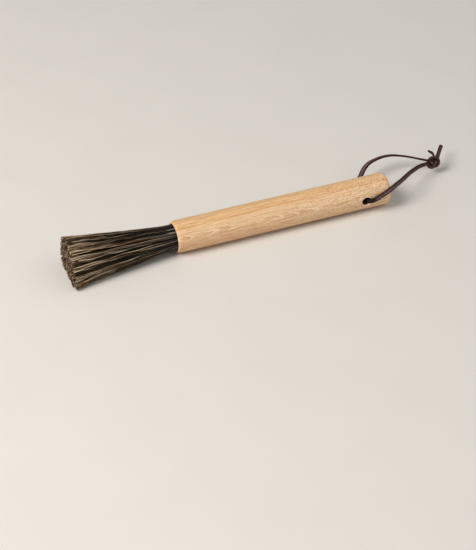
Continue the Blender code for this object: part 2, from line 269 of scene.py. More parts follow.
# The doubled lace inside the knot: mm right, up and towards the photograph's viewer from the
# knot's middle, then how far its flat side is turned to the viewer in degrees
KNOT_ROUTE = (
    (-4.3, -0.1, 1.4, 30),
    (-3.2, -0.2, 1.9, 60),
    (-2.0, -0.3, 2.1, 84),
    (-0.8, -0.6, 1.5, 95),
    (0.4, -1.3, -0.2, 105),
    (1.5, -1.6, -0.9, 120),
    (2.3, -0.7, -0.3, 130),
    (2.4, 0.5, 0.3, 135),
    (1.9, 1.5, 0.6, 135),
    (0.9, 2.1, 0.7, 135),
    (-0.3, 2.1, 0.6, 135),
    (-1.5, 1.6, 0.2, 135),
    (-2.3, 0.6, -0.4, 130),
    (-2.6, -0.5, -0.6, 125),
    (-2.7, -1.5, -0.4, 125),
    (-2.1, -2.4, 0.0, 130),
    (-1.0, -2.5, 0.4, 120),
    (0.0, -1.9, 0.8, 105),
    (0.7, -0.9, 0.9, 95),
    (1.0, 0.2, 0.4, 90),
    (1.2, 1.3, -0.9, 75),
    (1.5, 2.3, -1.7, 60),
)
KNOT_ROUTE_STEPS = 16
# In mm: between the rings of the lace in the knot, from the route to each of the two laces, and
# where along the route a strand leaves its own line and where it has joined the route
KNOT_SPACING = 0.3
KNOT_OFFSET = 0.56
KNOT_JOIN_START = 0.2
KNOT_JOIN_END = 4.4
# Shares: how far aside of each other the two laces lie, and how much the knot squeezes them
KNOT_STAGGER = 0.7
KNOT_SQUEEZE = 0.14


# Small helpers


def linear(red, green, blue):
    """Linear colour from the 0 to 255 numbers that a screen shows."""

    def one(value):
        value /= 255
        return value / 12.92 if value <= 0.04045 else ((value + 0.055) / 1.055) ** 2.4

    return one(red), one(green), one(blue)


def between(first, second, share):
    return [a + (b - a) * share for a, b in zip(first, second)]


def smooth_step(low, high, value):
    share = min(max((value - low) / (high - low), 0), 1)
    return share * share * (3 - 2 * share)


# Materials


class Shader:
    """A material's node tree with short calls for the nodes used here."""

    def __init__(self, name, roughness):
        self.material = bpy.data.materials.new(name)
        self.material.use_nodes = True
        self.tree = self.material.node_tree
        self.main = self.tree.nodes["Principled BSDF"]
        self.main.inputs["Roughness"].default_value = roughness

    def node(self, kind, **settings):
        made = self.tree.nodes.new(kind)
        for key, value in settings.items():
            setattr(made, key, value)
        return made

    def put(self, value, socket):
        if isinstance(value, bpy.types.NodeSocket):
            self.tree.links.new(value, socket)
        else:
            socket.default_value = value

    # Numbers and vectors

    def math(self, operation, a, b=0.0, c=0.0):
        made = self.node("ShaderNodeMath", operation=operation)
        for value, socket in zip((a, b, c), made.inputs):
            self.put(value, socket)
        return made.outputs[0]

    def times(self, value, *others):
        for other in others:
            value = self.math("MULTIPLY", value, other)
        return value

    def shift(self, value, texture, amount):
        """The value moved by a texture, up to half the amount either way."""
        return self.math("MULTIPLY_ADD", self.math("SUBTRACT", texture, 0.5), amount, value)

    def grey(self, value, low, high, dark=0.0, bright=1.0):
        """A value that goes from dark to bright as another one goes from low to high."""
        made = self.node("ShaderNodeMapRange", clamp=True)
        for number, socket in zip((value, low, high, dark, bright), made.inputs):
            self.put(number, socket)
        return made.outputs[0]

    def vector(self, operation, a, b=(0, 0, 0)):
        made = self.node("ShaderNodeVectorMath", operation=operation)
        self.put(a, made.inputs[0])
        self.put(b, made.inputs[1])
        single = operation in ("DOT_PRODUCT", "LENGTH")
        return made.outputs["Value" if single else "Vector"]

    def place(self):
        return self.node("ShaderNodeTexCoord").outputs["Object"]

    def place_in_mm(self):
        return self.vector("MULTIPLY", self.place(), (1000, 1000, 1000))

    def along(self, place):
        split = self.node("ShaderNodeSeparateXYZ")
        self.put(place, split.inputs[0])
        return split.outputs[0]

    def attribute(self, name, output="Fac"):
        return self.node("ShaderNodeAttribute", attribute_name=name).outputs[output]

    # Textures

    def noise(self, place, scale, detail=3.0, roughness=0.6):
        made = self.node("ShaderNodeTexNoise")
        self.put(place, made.inputs["Vector"])
        made.inputs["Scale"].default_value = scale
        made.inputs["Detail"].default_value = detail
        made.inputs["Roughness"].default_value = roughness
        return made.outputs[0]

    def streaks(self, place, scale, detail=3.0, roughness=0.6):
        """Noise with its own scale in each direction."""
        return self.noise(self.vector("MULTIPLY", place, scale), 1.0, detail, roughness)

    def cells(self, place, scale):
        made = self.node("ShaderNodeTexVoronoi")
        self.put(place, made.inputs["Vector"])
        made.inputs["Scale"].default_value = scale
        return made.outputs["Distance"]

    # Colours

    def ramp(self, value, stops):
        made = self.node("ShaderNodeValToRGB")
        elements = made.color_ramp.elements
        while len(elements) < len(stops):
            elements.new(1.0)
        for element, (at, colour) in zip(elements, stops):
            element.position = at
            element.color = (*colour, 1)
        self.put(value, made.inputs[0])
        return made.outputs[0]

    def mix(self, share, a, b, blend="MIX"):
        made = self.node("ShaderNodeMix", data_type="RGBA", blend_type=blend)
        self.put(share, made.inputs[0])
        self.put((*a, 1) if isinstance(a, tuple) else a, made.inputs[6])
        self.put((*b, 1) if isinstance(b, tuple) else b, made.inputs[7])
        return made.outputs[2]

    def paint(self, colour, share, red, green, blue):
        """A share of another colour over one."""
        return self.mix(share, colour, linear(red, green, blue))

    # What reaches the main shader

    def colour(self, value):
        self.put(value, self.main.inputs["Base Color"])

    def rough(self, value):
        self.put(value, self.main.inputs["Roughness"])

    def shine(self, level, tint=(1.0, 1.0, 1.0)):
        self.main.inputs["Specular IOR Level"].default_value = level
        self.main.inputs["Specular Tint"].default_value = (*tint, 1)

    def bump(self, height, distance, strength):
        made = self.node("ShaderNodeBump")
        made.inputs["Distance"].default_value = distance
        made.inputs["Strength"].default_value = strength
        self.put(height, made.inputs["Height"])
        self.put(made.outputs[0], self.main.inputs["Normal"])


class Oak(Shader):
    """Oiled oak, with its textures measured in mm along and round the handle."""

    # Each growth ring's place round the handle, as a share of its half turn, and its colour
    RINGS = (
        (0.000, (229, 193, 157)),
        (0.195, (227, 189, 151)),
        (0.214, (222, 181, 138)),
        (0.219, (186, 136, 88)),
        (0.228, (209, 163, 113)),
        (0.245, (222, 179, 131)),
        (0.290, (225, 184, 137)),
        (0.297, (209, 163, 114)),
        (0.306, (228, 188, 142)),
        (0.375, (223, 181, 134)),
        (0.385, (198, 150, 102)),
        (0.398, (227, 187, 142)),
        (0.470, (220, 176, 129)),
        (0.482, (199, 151, 104)),
        (0.494, (226, 186, 142)),
        (0.620, (219, 175, 128)),
        (0.632, (199, 151, 104)),
        (0.646, (227, 188, 144)),
        (0.820, (219, 176, 129)),
        (0.832, (199, 151, 104)),
        (0.848, (227, 188, 145)),
    )
    HALF_TURN = 32.0

    def __init__(self):
        super().__init__("oiled_oak", 0.55)
        self.mm = self.place_in_mm()
        self.x = self.along(self.mm)
        # Distance round the handle from the line where the growth rings lie flat
        middle = self.vector("SUBTRACT", self.mm, (0, 0, 10))
        toward = self.vector("DOT_PRODUCT", middle, (0, -0.914, 0.407))
        aside = self.vector("DOT_PRODUCT", middle, (0, 0.407, 0.914))
        self.round_by = self.times(self.math("ARCTAN2", aside, toward), 10.0)
        self.slow = self.streaks(self.mm, (0.075, 0.16, 0.16), 2.0, 0.4)
        self.ragged = self.streaks(self.mm, (0.22, 1.1, 1.1), 4.0)
        self.crumb = self.streaks(self.mm, (0.7, 1.8, 1.8))
        self.fibre = self.streaks(self.mm, (0.06, 0.95, 0.95), 5.0, 0.65)
        self.dark_fibre = self.streaks(self.mm, (0.10, 1.5, 1.5), 4.0)

    def growth_rings(self):
        """Bands round the handle, wider apart below the flat line than above it."""
        ring_at = self.math("ABSOLUTE", self.round_by)
        wider = self.math("SUBTRACT", 1.0, self.grey(ring_at, 14.0, 30.0, 0.5, 1.0))
        wider = self.times(wider, self.grey(self.round_by, 0.0, -0.1))
        ring_at = self.times(ring_at, self.math("SUBTRACT", 1.0, wider))
        ring_at = self.math("ADD", ring_at, self.grey(self.x, 30.0, -10.0, 0.0, 0.9))
        ring_at = self.shift(ring_at, self.slow, 1.3)
        ring_at = self.shift(ring_at, self.ragged, 0.45)
        stops = [(at, linear(*colour)) for at, colour in self.RINGS]
        return self.ramp(self.math("DIVIDE", ring_at, self.HALF_TURN), stops)

    def arches(self, colour):
        """Cathedral figure: pale nested arches whose tips point to the strap end."""
        off_line = self.math("ADD", self.round_by, self.grey(self.x, 10.0, 50.0, 0.0, 1.3))
        arch = self.times(self.x, 0.072)
        arch = self.math("MULTIPLY_ADD", self.times(off_line, off_line), 0.15, arch)
        arch = self.shift(arch, self.slow, 2.6)
        arch = self.math("FRACT", self.shift(arch, self.ragged, 0.32))
        patch = self.streaks(self.mm, (0.07, 0.25, 0.25), 2.0, 0.5)
        belt = self.grey(self.math("ABSOLUTE", off_line), 6.2, 3.2)
        belt = self.times(belt, self.grey(patch, 0.36, 0.52, 0.30, 1.0))
        pale = self.times(self.grey(arch, 0.0, 0.10), self.grey(arch, 0.36, 0.16))
        pale = self.times(pale, self.grey(self.crumb, 0.28, 0.50, 0.45, 1.0))
        colour = self.paint(colour, self.times(pale, belt, 0.85), 250, 226, 195)
        late = self.times(self.grey(arch, 0.62, 0.96), self.grey(arch, 1.0, 0.97))
        return self.paint(colour, self.times(late, belt, 0.55), 196, 148, 104)

    def long_fibres(self, colour):
        colour = self.paint(colour, self.grey(self.fibre, 0.48, 0.66, 0.0, 0.60), 240, 209, 168)
        return self.paint(colour, self.grey(self.dark_fibre, 0.48, 0.68, 0.0, 0.70), 190, 136, 88)

    def pores(self, colour):
        """Open pores, short and dark, and pale flecks, crowded towards the strap end."""
        zone = self.grey(self.x, 34.0, 88.0)
        warp = self.node("ShaderNodeCombineXYZ")
        for value, socket in zip((self.crumb, self.ragged, self.dark_fibre), warp.inputs):
            self.put(self.times(value, 2.2), socket)
        warped = self.vector("ADD", self.mm, warp.outputs[0])
        pore = self.cells(self.vector("MULTIPLY", warped, (0.62, 1.5, 1.5)), 1.0)
        pore = self.times(self.grey(pore, 0.38, 0.14), self.grey(self.ragged, 0.38, 0.56, 0.25, 1.0))
        pore = self.times(pore, self.math("MULTIPLY_ADD", zone, 0.75, 0.25))
        fleck = self.cells(self.vector("MULTIPLY", warped, (0.60, 1.5, 1.5)), 1.0)
        fleck = self.times(self.grey(fleck, 0.40, 0.18), zone, 0.80)
        colour = self.paint(colour, pore, 150, 92, 60)
        return self.paint(colour, fleck, 252, 228, 200), pore

    def painted_hole_light(self, colour):
        """The cross hole: painted shade inside it, a painted highlight on its pale lip and a painted shadow on a
        darker rim round it.
        """
        centre = tuple(round(value / MM, 3) for value in HOLE)
        off_axis = self.vector("MULTIPLY", self.vector("SUBTRACT", self.mm, centre), (1, 0, 1))
        off_axis = self.vector("LENGTH", off_axis)
        # Painted highlight on the lip of the hole
        lip_highlight = self.times(self.grey(off_axis, 3.9, 3.5), self.grey(off_axis, 2.74, 2.90))
        colour = self.paint(colour, self.times(lip_highlight, 0.85), 255, 226, 204)
        # Painted shadow on the rim round the lip
        rim_shadow = self.times(self.grey(off_axis, 3.5, 3.75), self.grey(off_axis, 4.2, 3.9))
        colour = self.paint(colour, self.times(rim_shadow, 0.35), 170, 112, 72)
        # Painted shade inside the hole
        return self.paint(colour, self.grey(off_axis, 2.86, 2.72, 0.0, 0.80), 84, 42, 24)

    def end_grain(self, colour):
        """The strap end: arcs of growth rings with rows of open pores."""
        pith = self.vector("SUBTRACT", self.mm, (0, 17, -9))
        pith = self.vector("LENGTH", self.vector("MULTIPLY", pith, (0, 1, 1)))
        ring = self.math("MULTIPLY_ADD", self.ragged, 0.25, self.math("DIVIDE", pith, 2.3))
        ring = self.math("FRACT", ring)
        grain = self.mix(self.grey(ring, 0.25, 0.9), linear(196, 148, 102), linear(216, 174, 126))
        dots = self.grey(self.cells(self.mm, 2.4), 0.34, 0.16)
        dots = self.times(dots, self.grey(ring, 0.45, 0.15, 0.25, 1.0))
        grain = self.paint(grain, self.times(dots, 0.7), 140, 92, 60)
        return self.mix(self.grey(self.x, 104.9, 105.15, 0.0, 0.9), colour, grain)

    def warm_tint(self, colour):
        """Warmer below at the bristle end, and on its lip."""
        warm = self.times(self.grey(self.x, 45.0, 0.0, 0.0, 0.11), self.grey(self.round_by, 3.0, -1.0))
        warm = self.math("ADD", warm, self.grey(self.x, -30.0, -35.5, 0.0, 0.12))
        return self.mix(warm, colour, linear(238, 193, 145), "MULTIPLY")


def oak_material():
    s = Oak()
    colour = s.long_fibres(s.arches(s.growth_rings()))
    colour, pore = s.pores(colour)
    colour = s.painted_hole_light(colour)
    colour = s.mix(1.0, colour, (1.03, 1.03, 1.0), "MULTIPLY")
    colour = s.warm_tint(s.end_grain(colour))
    s.colour(colour)
    s.rough(s.grey(s.fibre, 0.3, 0.7, 0.50, 0.66))
    s.bump(s.math("MULTIPLY_ADD", pore, -1.0, s.times(s.dark_fibre, 0.5)), 0.00008, 0.6)
    s.shine(0.30)
    return s.material


def leather_material():
    s = Shader("brown_leather", 0.45)
    mm = s.place_in_mm()
    along = s.along(mm)
    grain = s.cells(mm, 3.2)
    blotch = s.noise(mm, 0.30)
    fibre = s.noise(mm, 4.0)
    edge = s.attribute("cut_edge")
    from_middle = s.attribute("from_middle")
    flat = s.mix(s.grey(blotch, 0.3, 0.7), linear(56, 27, 17), linear(80, 44, 29))
    # Painted sheen: the middle of the flat sides is painted greyer, as a highlight, most near the oak and in the knot
    painted_sheen = s.times(s.grey(from_middle, 0.90, 0.20), s.grey(blotch, 0.36, 0.60, 0.45, 1.0))
    from_knot = s.vector("SUBTRACT", s.place(), tuple(KNOT_CENTRE))
    in_knot = s.grey(s.vector("LENGTH", from_knot), 0.0056, 0.0044)
    near_oak = s.grey(along, 122.0, 106.0, 0.06, 0.95)
    painted_sheen = s.times(painted_sheen, s.math("MAXIMUM", near_oak, in_knot))
    # Colour of the painted sheen: violet-grey, browner in the knot
    sheen_colour = s.mix(in_knot, linear(112, 100, 108), linear(90, 70, 68))
    flat = s.mix(painted_sheen, flat, sheen_colour)
    flat = s.paint(flat, s.grey(grain, 0.0, 0.35, 0.6, 0.0), 26, 16, 14)
    cut = s.mix(s.grey(fibre, 0.35, 0.7), linear(32, 17, 12), linear(70, 40, 28))
    colour = s.mix(edge, flat, cut)
    # Painted shade where the turns of the knot meet
    knot_shade = s.times(in_knot, s.grey(from_middle, 0.30, 0.75, 0.0, 0.75))
    colour = s.paint(colour, knot_shade, 18, 11, 10)
    # Painted shade on the lace in the cross hole and just outside it
    colour = s.paint(colour, s.grey(along, 95.5, 91.8, 0.0, 0.92), 12, 7, 6)
    s.colour(colour)
    s.rough(s.math("MULTIPLY_ADD", edge, 0.3, s.grey(blotch, 0.3, 0.7, 0.36, 0.50)))
    s.bump(s.math("ADD", grain, s.times(fibre, 0.6)), 0.00006, 0.55)
    s.shine(0.15, (0.98, 0.88, 0.94))
    return s.material


def bristle_material():
    s = Shader("dark_bristle", 0.4)
    mm = s.place_in_mm()
    mottle = s.streaks(mm, (0.22, 1.6, 1.6))
    own_colour = s.attribute("strand_colour", "Color")
    s.colour(s.paint(own_colour, s.grey(mottle, 0.46, 0.70, 0.0, 0.4), 18, 14, 12))
    s.rough(s.grey(mottle, 0.3, 0.7, 0.30, 0.50))
    s.bump(s.streaks(mm, (2.0, 8.0, 8.0), 2.0, 0.5), 0.00003, 0.4)
    s.shine(0.26, (1.0, 0.90, 0.78))
    return s.material


def thread_material():
    s = Shader("binding_thread", 0.8)
    mm = s.place_in_mm()
    turn = s.math("SINE", s.times(s.vector("DOT_PRODUCT", mm, (1, 0, 0)), 14.0))
    tone = s.math("ADD", s.grey(turn, -1, 1, 0.0, 0.6), s.times(s.noise(mm, 3.0), 0.5))
    s.colour(s.ramp(tone, ((0.1, linear(120, 106, 84)), (0.9, linear(196, 182, 152)))))
    s.bump(turn, 0.0001, 0.8)
    return s.material


def glue_material():
    s = Shader("set_glue", 0.3)
    cloud = s.noise(s.place_in_mm(), 0.6, 4.0)
    s.colour(s.ramp(cloud, ((0.3, linear(116, 78, 36)), (0.7, linear(176, 132, 74)))))
    s.rough(s.grey(cloud, 0.3, 0.7, 0.22, 0.45))
    s.bump(cloud, 0.0002, 0.5)
    return s.material


def floor_material():
    s = Shader("pale_floor", 0.75)
    cloud = s.noise(s.place(), 18.0, 4.0, 0.5)
    s.colour(s.ramp(cloud, ((0.3, (0.72, 0.70, 0.67)), (0.7, (0.74, 0.72, 0.69)))))
    s.shine(0.2)
    return s.material


# Mesh helpers


def mesh_object(name, points, faces, material):
    mesh = bpy.data.meshes.new(name)
    mesh.from_pydata([tuple(p) for p in points], [], faces)
    mesh.materials.append(material)
    mesh.shade_smooth()
    made = bpy.data.objects.new(name, mesh)
    bpy.context.scene.collection.objects.link(made)
    return made


def point_values(piece, name, values):
    """Give each point of a piece a number that its material reads."""
    layer = piece.data.attributes.new(name, "FLOAT", "POINT")
    layer.data.foreach_set("value", values)


def tube_faces(rings, sides):
    """The faces of a tube with closed ends, whose points come ring after ring."""
    faces = []
    for ring in range(rings - 1):
        a, b = ring * sides, (ring + 1) * sides
        for k in range(sides):
            n = (k + 1) % sides
            faces.append((a + k, a + n, b + n, b + k))
    faces.append(tuple(reversed(range(sides))))
    faces.append(tuple(range((rings - 1) * sides, rings * sides)))
    return faces


def turned(name, profile, sides, material):
    """A solid turned about the handle's axis from (x, radius) points that start and end on it."""
    points, faces, rings = [], [], []
    for x, radius in profile:
        if radius == 0:
            rings.append([len(points)])
            points.append((x, 0, AXIS_HEIGHT))
            continue
        rings.append(list(range(len(points), len(points) + sides)))
        for k in range(sides):
            angle = math.tau * k / sides
            points.append((x, radius * math.cos(angle), AXIS_HEIGHT + radius * math.sin(angle)))
    for a, b in zip(rings, rings[1:]):
        for k in range(sides):
            n = (k + 1) % sides
            if len(a) == 1:
                faces.append((a[0], b[k], b[n]))
            elif len(b) == 1:
                faces.append((a[n], a[k], b[0]))
            else:
                faces.append((a[n], a[k], b[k], b[n]))
    return mesh_object(name, points, faces, material)


def rounded(start, end, steps, radius_first):
    """Points of a quarter of an ellipse from one (x, radius) point to another."""
    points = []
    for step in range(steps + 1):
        angle = math.pi / 2 * step / steps
        early, late = math.sin(angle), 1 - math.cos(angle)
        share_x, share_r = (late, early) if radius_first else (early, late)
        x = start[0] + (end[0] - start[0]) * share_x
        radius = start[1] + (end[1] - start[1]) * share_r
        points.append((x, radius))
    return points


# Routes


def catmull(points, index, share):
    last = len(points) - 1
    p0, p1, p2, p3 = (points[min(max(index + k, 0), last)] for k in (-1, 0, 1, 2))
    out = []
    for a, b, c, d in zip(p0, p1, p2, p3):
        bend = (2 * a - 5 * b + 4 * c - d) * share**2 + (3 * b - a - 3 * c + d) * share**3
        out.append(b + ((c - a) * share + bend) / 2)
    return out


def smooth_route(route, steps):
    """A route on one smooth curve, and each of its points' distance along it."""
    fine = []
    for index in range(len(route) - 1):
        fine += [catmull(route, index, step / steps) for step in range(steps)]
    fine.append(list(route[-1]))
    runs = [0.0]
    for before, after in zip(fine, fine[1:]):
        runs.append(runs[-1] + math.dist(before[:3], after[:3]))
    return fine, runs


def stations(fine, runs, start, end, spacing):
    """Evenly spaced route points between two distances along it, two of them at least."""
    count = max(2, round((end - start) / spacing) + 1)
    picked, at = [], 0
    for number in range(count):
        wanted = start + (end - start) * number / (count - 1)
        while at < len(runs) - 2 and runs[at + 1] < wanted:
            at += 1
        share = (wanted - runs[at]) / (runs[at + 1] - runs[at])
        picked.append(between(fine[at], fine[at + 1], share))
    return picked


def direction(centres, index, beyond=None):
    first, last = beyond or (centres[0], centres[-1])
    before = centres[index - 1] if index else first
    after = centres[index + 1] if index + 1 < len(centres) else last
    return (after - before).normalized()


# Handle

HANDLE_SIDES = 160
HANDLE_RINGS = 150
CUTTER_SIDES = 72


def make_handle(material):
    radius = AXIS_HEIGHT
    strap_edge = STRAP_END_X - STRAP_ROUNDING
    bristle_edge = BRISTLE_END_X + BRISTLE_ROUNDING
    length = strap_edge - bristle_edge
    bore_end = BRISTLE_END_X + BORE_DEPTH
    profile = [(STRAP_END_X, radius * share) for share in (0, 0.25, 0.5, 0.7)]
    profile += rounded((STRAP_END_X, radius - STRAP_ROUNDING), (strap_edge, radius), 10, True)
    profile += [(strap_edge - length * k / HANDLE_RINGS, radius) for k in range(1, HANDLE_RINGS)]
    profile += rounded((bristle_edge, radius), (BRISTLE_END_X, radius - BRISTLE_LIP), 12, False)
    profile.append((BRISTLE_END_X, BORE_RADIUS + BORE_CHAMFER))
    profile.append((BRISTLE_END_X + BORE_CHAMFER, BORE_RADIUS))
    profile += [(bore_end, BORE_RADIUS), (bore_end, 0)]
    handle = turned("oak_handle", profile, HANDLE_SIDES, material)
    cutter = mouth_cutter(material)
    cut = handle.modifiers.new("cross_hole", "BOOLEAN")
    cut.operation = "DIFFERENCE"
    cut.solver = "EXACT"
    cut.object = cutter
    bpy.context.view_layer.update()
    whole = handle.evaluated_get(bpy.context.evaluated_depsgraph_get())
    shape = bpy.data.meshes.new_from_object(whole)
    handle.modifiers.clear()
    handle.data = shape
    bpy.data.objects.remove(cutter)
    shape.shade_smooth()
    shape.set_sharp_from_angle(angle=SHARP_ANGLE)
    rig.ride(handle, "brush")
    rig.replaces(handle, "handle")
    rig.slot(handle, "oiled_oak")


def mouth_cutter(material):
    """The cross hole's space, straight inside and softly flared at both mouths, along Y."""
    side = [(HANDLE_RADIUS + MM, MOUTH_RADIUS)]
    mouth, inside = (HANDLE_RADIUS, MOUTH_RADIUS), (HANDLE_RADIUS - MOUTH_DEPTH, HOLE_RADIUS)
    side += rounded(mouth, inside, 8, True)
    profile = [(side[0][0], 0)] + side + [(-y, r) for y, r in reversed(side)] + [(-side[0][0], 0)]
    cutter = turned("mouth_cutter", profile, CUTTER_SIDES, material)
    turn = Matrix.Rotation(math.pi / 2, 4, "Z")
    cutter.data.transform(Matrix.Translation((0, 0, -AXIS_HEIGHT)))
    cutter.data.transform(Matrix.Translation(HOLE) @ turn)
    return cutter


# Bristles

STRANDS = 3600
STRAND_SIDES = 3
LOCKS = 250
GOLDEN_ANGLE = math.pi * (3 - math.sqrt(5))
# Where a strand gets a ring of points, as a share of its root (below 0) or of its free length:
# close together in the outer strands, which show, and few in the core
SHELL_SHARE = 0.86
SHELL_RINGS = (-1.0, -0.27, -0.014, 0.09, 0.18, 0.27)
SHELL_RINGS += tuple(0.36 + 0.64 * k / 27 for k in range(28))
CORE_RINGS = (-1.0, -0.014, 0.30, 0.60, 0.82, 1.0)
# Places in the bundle are shares of its radius, u away from the viewer and v up
SCATTER = 0.011
LOCK_REACH = 0.074
WISPS_ACROSS = 31
WISP_LAYER = 3.7
# Below this v, strands are painted darker, as painted shade
UNDERSIDE = -0.2
# Bends of a strand: sizes in mm, and rates in radians over the bundle's length
WAVE_SIZE = 0.10
WAVE_GROWTH = 0.24
WAVE_RATE = 17
CRIMP_SIZE = 0.20
CRIMP_RATE = 38
SWAY_SIZE = 0.20
# How much shorter the strands are, and how much more on the far side of the slanted cut
CUT_SHORTENING = 0.0004
CUT_SLANT = 0.0018
# How far the bundle's underside and any single strand stay above the table
TABLE_GAP = 0.0001
LEAST_TABLE_GAP = 0.00008
# Dark, middle, light and pale at the handle, along the bundle, at its tip and on the cut ends
ROOT_TONES = (linear(5, 3, 2), linear(34, 28, 25), linear(94, 86, 80), linear(168, 162, 152))
BODY_TONES = (linear(6, 3, 2), linear(50, 35, 24), linear(152, 122, 88), linear(255, 242, 214))
TIP_TONES = (linear(30, 20, 14), linear(112, 84, 60), linear(190, 158, 122), linear(250, 234, 206))
CUT_TONES = (linear(70, 54, 46), linear(158, 134, 118), linear(204, 182, 164), linear(236, 220, 204))


def tuft_reach(distance, downward, edge, strand_radius):
    """How far the bundle reaches from the axis there; the table flattens its underside."""
    run = min(max(distance, 0) / TUFT_LENGTH, 1)
    reach = edge + (TUFT_TIP_RADIUS - edge) * run**1.2
    if downward <= 0:
        return reach
    reach *= 1 + 0.33 * downward * run**3
    table = (AXIS_HEIGHT - strand_radius - TABLE_GAP) / downward
    return (reach**-20 + table**-20) ** (-1 / 20)


def tone_colour(tones, tone):
    """The colour between dark, middle, light and pale at a tone from 0 to 1."""
    at = min(max(tone, 0), 0.9999) * (len(tones) - 1)
    index = int(at)
    return between(tones[index], tones[index + 1], at - index)


def make_locks(rng):
    """The bundle's locks, laid out like seeds; each has its own tone, wave and length."""
    locks = []
    for k in range(LOCKS):
        share = math.sqrt((k + 0.5) / LOCKS)
        angle = k * GOLDEN_ANGLE + rng.uniform(-0.2, 0.2)
        locks.append(
            SimpleNamespace(
                u=share * math.cos(angle),
                v=share * math.sin(angle),
                tone=rng.random() ** 1.5,
                wave=rng.uniform(0, math.tau),
                pitch=rng.uniform(0.7, 1.5),
                aside=rng.uniform(-0.5, 0.5),
                grip=rng.uniform(0.40, 0.85),
                short=abs(rng.gauss(0, 0.55)),
            )
        )
    return locks


def draw_tones(rng, share, u, v, lock):
    """A strand's tone along the bundle and at its tip, and whether it is a single pale one."""
    # Painted light and shade: strands in the middle of a lock are painted lighter and those between locks darker,
    # along the bundle and at the tip
    inside = 1 - min(math.hypot(u - lock.u, v - lock.v) / LOCK_REACH, 1)
    # Wisps of light and dark strands, finer than the locks
    wisp_place = Vector((u * WISPS_ACROSS, v * WISPS_ACROSS, WISP_LAYER))
    wisp = min(max(0.47 + 2.6 * noise.noise(wisp_place), 0), 1)
    tone = 0.66 * lock.tone * (0.2 + 0.8 * inside) + 0.19 * rng.random() ** 2
    tone = 0.01 + tone * (0.08 + 2.0 * wisp)
    # Strands on the underside are painted darker, as painted shade
    below = v < UNDERSIDE
    pale = share > 0.90 and rng.random() < (0.20 if below else 0.13)
    # Painted highlight: the brightest wisps on the outside of a lock are painted light
    lit_ridge = share > SHELL_SHARE and wisp == 1 and lock.tone > 0.12
    if pale:
        tone = rng.uniform(0.72, 1.0)
    elif lit_ridge:
        tone = rng.uniform(0.52, 0.92) * (0.54 if below else 1.0)
    elif below:
        tone *= 0.44
    tip_tone = (0.26 + 0.54 * rng.random()) * (0.26 + 0.80 * inside) * (0.6 + 0.8 * wisp)
    return tone, max(tone, tip_tone), pale


def draw_strand(rng, number, locks):
    """One bristle: its place in the bundle, tones, thickness, length and bends."""
    share = math.sqrt((number + 0.5) / STRANDS)
    angle = number * GOLDEN_ANGLE
    u = share * math.cos(angle) + rng.gauss(0, SCATTER)
    v = share * math.sin(angle) + rng.gauss(0, SCATTER)
    lock = min(locks, key=lambda other: (other.u - u) ** 2 + (other.v - v) ** 2)
    grip = lock.grip * rng.uniform(0.75, 1.15)
    tone, tip_tone, pale = draw_tones(rng, share, u, v, lock)
    radius = rng.uniform(0.12, 0.19) * MM * (0.9 + 1.1 * tone if pale else 1.0)
    shimmer, shimmer_rate = rng.uniform(0, math.tau), rng.uniform(4, 11)
    # A few strays fray far from their place, and a few bristles are clearly shorter
    fray = 0.05 if rng.random() < 0.05 else 0.014
    fray_u, fray_v = rng.gauss(0, fray), rng.gauss(0, fray)
    far_side = (1 + share * math.cos(angle)) / 2
    length = TUFT_LENGTH - CUT_SHORTENING - CUT_SLANT * far_side - lock.short * MM
    length -= abs(rng.gauss(0, 0.45)) * MM
    if rng.random() < 0.05:
        length -= rng.uniform(1.0, 7.0) * MM
    return SimpleNamespace(
        outer=share > SHELL_SHARE,
        u=u,
        v=v,
        lock=lock,
        grip=grip,
        tone=tone,
        tip_tone=tip_tone,
        radius=radius,
        shimmer=shimmer,
        shimmer_rate=shimmer_rate,
        fray_u=fray_u,
        fray_v=fray_v,
        length=length,
        sway=rng.uniform(0, math.tau),
        sway_rate=rng.uniform(10, 18),
        flyaway=rng.uniform(0.3, 0.9) * MM if share > 0.93 and rng.random() < 0.07 else 0.0,
        spin=rng.uniform(0, math.tau),
        cut_tone=rng.random(),
    )


def strand_bends(strand, go):
    """How far its lock's wave, the crimp and its own sway move a strand aside and up."""
    lock = strand.lock
    wild = go**2
    curl = lock.wave + go * WAVE_RATE * lock.pitch
    lively = WAVE_SIZE + WAVE_GROWTH * go
    yield (wild * lock.aside + lively * math.sin(curl)) * MM, lively * math.cos(curl) * MM
    crimp = CRIMP_SIZE * smooth_step(0.35, 0.95, go) * MM
    crimp *= math.sin(go * CRIMP_RATE * lock.pitch + 3 * lock.wave)
    yield crimp * math.cos(5 * lock.wave), crimp * math.sin(5 * lock.wave)
    sway = go * strand.sway_rate + strand.sway
    yield wild * SWAY_SIZE * math.sin(sway) * MM, wild * SWAY_SIZE * math.cos(sway) * MM


